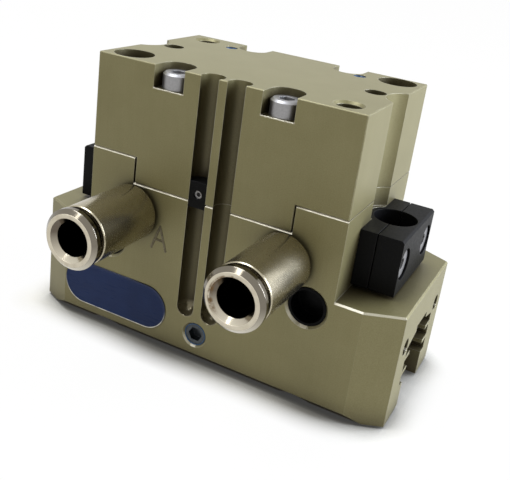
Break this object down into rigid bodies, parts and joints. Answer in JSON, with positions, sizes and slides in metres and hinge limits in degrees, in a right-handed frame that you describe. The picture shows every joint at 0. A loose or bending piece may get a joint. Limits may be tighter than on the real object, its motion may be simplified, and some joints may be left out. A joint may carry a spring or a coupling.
{
  "type": "parallel gripper",
  "caption": "Pneumatic parallel gripper: block body with push-in air fittings and sensor clamp brackets, whose base jaws slide apart on toothed guides, driven by a wedge hook.",
  "frame": {"origin": "centre of the mounting face on top", "axes": "+Z out of the mounting face, +X along the jaw travel, air ports towards -Y; jaws closed"},
  "size_m": [0.076, 0.0539, 0.0555],
  "materials": {
    "anodised_body": "hard anodised, olive grey, fine satin",
    "steel_screws": "bright zinc",
    "black_plugs": "black, smooth",
    "hardened_steel": "ground",
    "piston_metal": "turned",
    "magnet": "nickel plated",
    "seal_rubber": "black, smooth",
    "nickel_plate": "nickel plated, satin",
    "black_bracket": "black, matte",
    "spring_steel": "drawn wire"
  },
  "bodies": {
    "body": {"housing": "anodised_body", "cylinder_cover": "anodised_body", "cover_screws": "steel_screws", "cover_dowels": "steel_screws", "top_plugs": "steel_screws", "purge_plug": "steel_screws", "wedge_plate_screws": "steel_screws", "slot_clamp_screw": "steel_screws", "side_plugs": "black_plugs", "wedge_plate": "piston_metal", "slot_clamp": "black_bracket", "cover_seal": "seal_rubber", "rod_seal": "seal_rubber", "closing_spring": "spring_steel", "right_grab_ring": "hardened_steel", "right_bracket_screws": "steel_screws", "right_fitting_body": "nickel_plate", "right_tube_seal": "seal_rubber", "right_port_seal": "seal_rubber", "right_bracket_inner": "black_bracket", "right_bracket_outer": "black_bracket", "left_grab_ring": "hardened_steel", "left_bracket_screws": "steel_screws", "left_fitting_body": "nickel_plate", "left_tube_seal": "seal_rubber", "left_port_seal": "seal_rubber", "left_bracket_inner": "black_bracket", "left_bracket_outer": "black_bracket"},
    "piston_unit": {"piston": "piston_metal", "piston_seal": "seal_rubber", "piston_magnets": "magnet", "piston_screw": "steel_screws", "wedge_hook": "hardened_steel"},
    "right_jaw": {"right_base_jaw": "hardened_steel", "right_control_cam": "hardened_steel", "right_cam_screw": "steel_screws"},
    "right_ring": {"right_release_ring": "nickel_plate"},
    "left_jaw": {"left_base_jaw": "hardened_steel", "left_control_cam": "hardened_steel", "left_cam_screw": "steel_screws"},
    "left_ring": {"left_release_ring": "nickel_plate"}
  },
  "joints": [
    {"name": "piston_slide", "type": "slide", "parent": "body", "child": "piston_unit", "axis": [0, 0, 1], "range_m": [0, 0.0075], "stiffness_N_per_m": 3000, "springref_m": -0.012, "deforming": ["closing_spring"]},
    {"name": "right_jaw_slide", "type": "slide", "parent": "body", "child": "right_jaw", "axis": [1, 0, 0], "range_m": [0, 0.003]},
    {"name": "left_jaw_slide", "type": "slide", "parent": "body", "child": "left_jaw", "axis": [-1, 0, 0], "range_m": [0, 0.003]},
    {"name": "right_ring_slide", "type": "slide", "parent": "body", "child": "right_ring", "axis": [0, 1, 0], "range_m": [0, 0.0011], "stiffness_N_per_m": 300, "springref_m": -0.001},
    {"name": "left_ring_slide", "type": "slide", "parent": "body", "child": "left_ring", "axis": [0, 1, 0], "range_m": [0, 0.0011], "stiffness_N_per_m": 300, "springref_m": -0.001}
  ],
  "couplings": [
    {"joint": "right_jaw_slide", "follows": "piston_slide", "ratio": 0.4},
    {"joint": "left_jaw_slide", "follows": "piston_slide", "ratio": 0.4}
  ]
}
